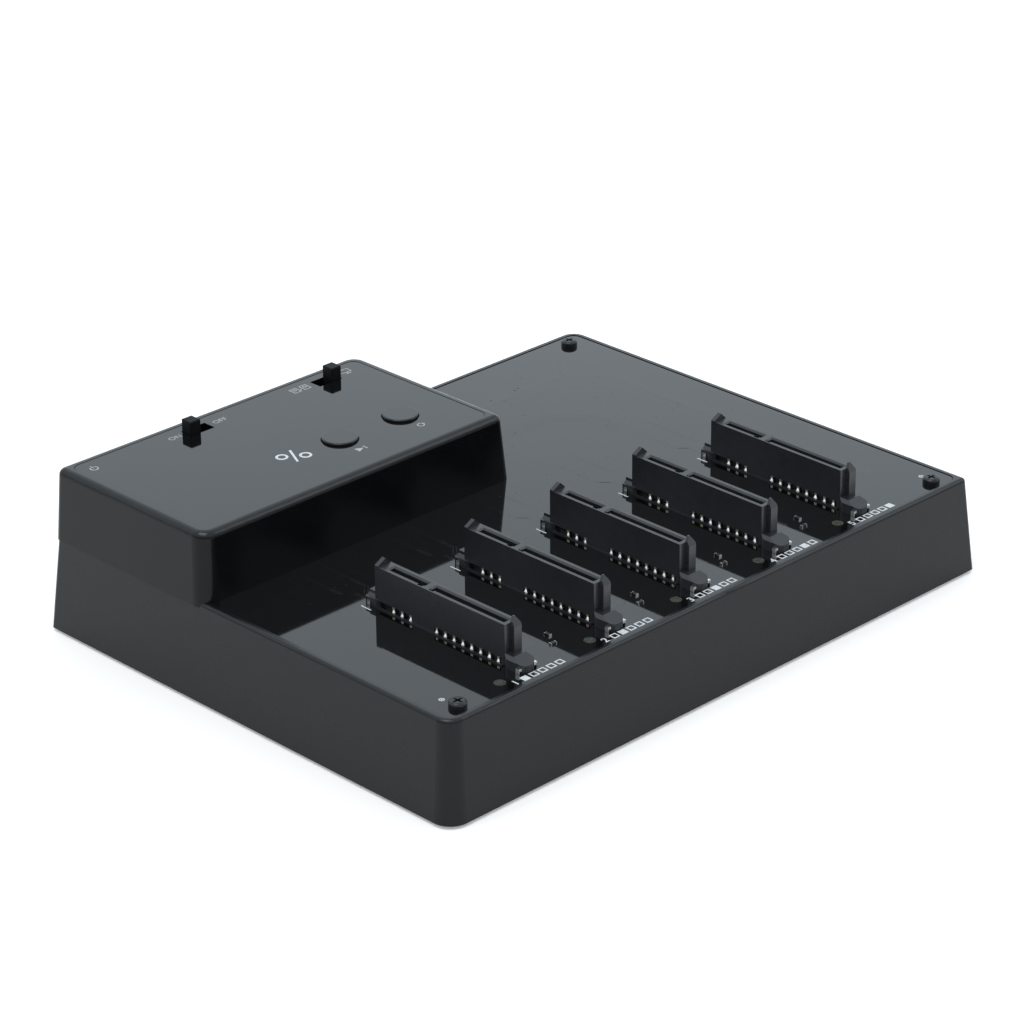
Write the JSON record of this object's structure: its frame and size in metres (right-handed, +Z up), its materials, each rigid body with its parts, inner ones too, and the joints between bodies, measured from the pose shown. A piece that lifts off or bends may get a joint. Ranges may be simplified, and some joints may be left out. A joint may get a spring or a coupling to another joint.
{
  "type": "hard drive docking station",
  "caption": "Low open-top dock: bare drives stand in a row of upright sockets on an exposed board, with a raised control head carrying switches and push buttons at one corner.",
  "frame": {"origin": "centre of the object's outline on the surface that its feet stand on", "axes": "+X to the right along the front, +Y to the back, +Z up"},
  "size_m": [0.1616, 0.1248, 0.0413],
  "materials": {
    "tray_plastic": "satin black moulded plastic",
    "head_plastic": "satin black moulded plastic",
    "overlay_film": "glossy black overlay film",
    "foot_rubber": "matte black rubber",
    "screw_black": "black oxide steel, semi-gloss",
    "board_mask": "glossy black solder mask over copper",
    "tin_plate": "bright tin plate",
    "chip_ceramic": "black coated ceramic chip with tinned ends",
    "socket_plastic": "fine matte black glass-filled nylon",
    "gold_contact": "gold flash over copper alloy",
    "led_lens": "milky translucent resin",
    "switch_steel": "plain steel",
    "switch_plastic": "black plastic",
    "knob_plastic": "black acetal, satin",
    "button_plastic": "fine matte black plastic",
    "display_epoxy": "smoked display epoxy",
    "port_steel": "nickel-plated steel",
    "port_plastic": "black connector plastic",
    "chip_epoxy": "moulded epoxy package",
    "crystal_can": "plain steel can",
    "capacitor_can": "plain aluminium can",
    "ferrite": "dark sintered ferrite"
  },
  "bodies": {
    "dock": {"base_shell": "tray_plastic", "bay_led_1": "led_lens", "bay_led_2": "led_lens", "bay_led_3": "led_lens", "bay_led_4": "led_lens", "bay_led_5": "led_lens", "bay_resistors": "chip_ceramic", "board_header": "switch_plastic", "board_header_pins": "gold_contact", "board_screws": "screw_black", "board_socket": "switch_plastic", "bottom_cover": "tray_plastic", "bottom_screws": "screw_black", "bridge_chips": "chip_epoxy", "bulk_capacitors": "capacitor_can", "control_board": "board_mask", "control_board_screws": "screw_black", "control_cover": "head_plastic", "cover_label": "overlay_film", "cover_screws": "screw_black", "crystal": "crystal_can", "dc_jack_housing": "port_plastic", "dc_jack_pin": "port_steel", "dc_jack_spring": "port_steel", "main_board": "board_mask", "main_controller": "chip_epoxy", "mode_switch_body": "switch_steel", "mode_tact_body": "switch_plastic", "mode_tact_dome": "switch_steel", "power_inductors": "ferrite", "power_led": "led_lens", "power_switch_body": "switch_steel", "power_transistors": "chip_epoxy", "progress_display": "display_epoxy", "rubber_feet": "foot_rubber", "sata_contacts_1": "gold_contact", "sata_contacts_2": "gold_contact", "sata_contacts_3": "gold_contact", "sata_contacts_4": "gold_contact", "sata_contacts_5": "gold_contact", "sata_hold_downs": "tin_plate", "sata_housing_1": "socket_plastic", "sata_housing_2": "socket_plastic", "sata_housing_3": "socket_plastic", "sata_housing_4": "socket_plastic", "sata_housing_5": "socket_plastic", "start_tact_body": "switch_plastic", "start_tact_dome": "switch_steel", "usb_port_contacts": "gold_contact", "usb_port_insulator": "port_plastic", "usb_port_shell": "port_steel"},
    "power_switch_slider": {"power_switch_knob": "knob_plastic"},
    "mode_switch_slider": {"mode_switch_knob": "knob_plastic"},
    "start_button": {"start_button_cap": "button_plastic", "start_tact_plunger": "switch_plastic"},
    "mode_button": {"mode_button_cap": "button_plastic", "mode_tact_plunger": "switch_plastic"}
  },
  "joints": [
    {"name": "power_switch", "type": "slide", "parent": "dock", "child": "power_switch_slider", "axis": [1, 0, 0], "range_m": [0, 0.0035]},
    {"name": "mode_switch", "type": "slide", "parent": "dock", "child": "mode_switch_slider", "axis": [1, 0, 0], "range_m": [-0.0035, 0]},
    {"name": "start_press", "type": "slide", "parent": "dock", "child": "start_button", "axis": [0, 0, -1], "range_m": [0, 0.0005], "stiffness_N_per_m": 2500, "deforming": ["start_tact_dome"]},
    {"name": "mode_press", "type": "slide", "parent": "dock", "child": "mode_button", "axis": [0, 0, -1], "range_m": [0, 0.0005], "stiffness_N_per_m": 2500, "deforming": ["mode_tact_dome"]}
  ]
}
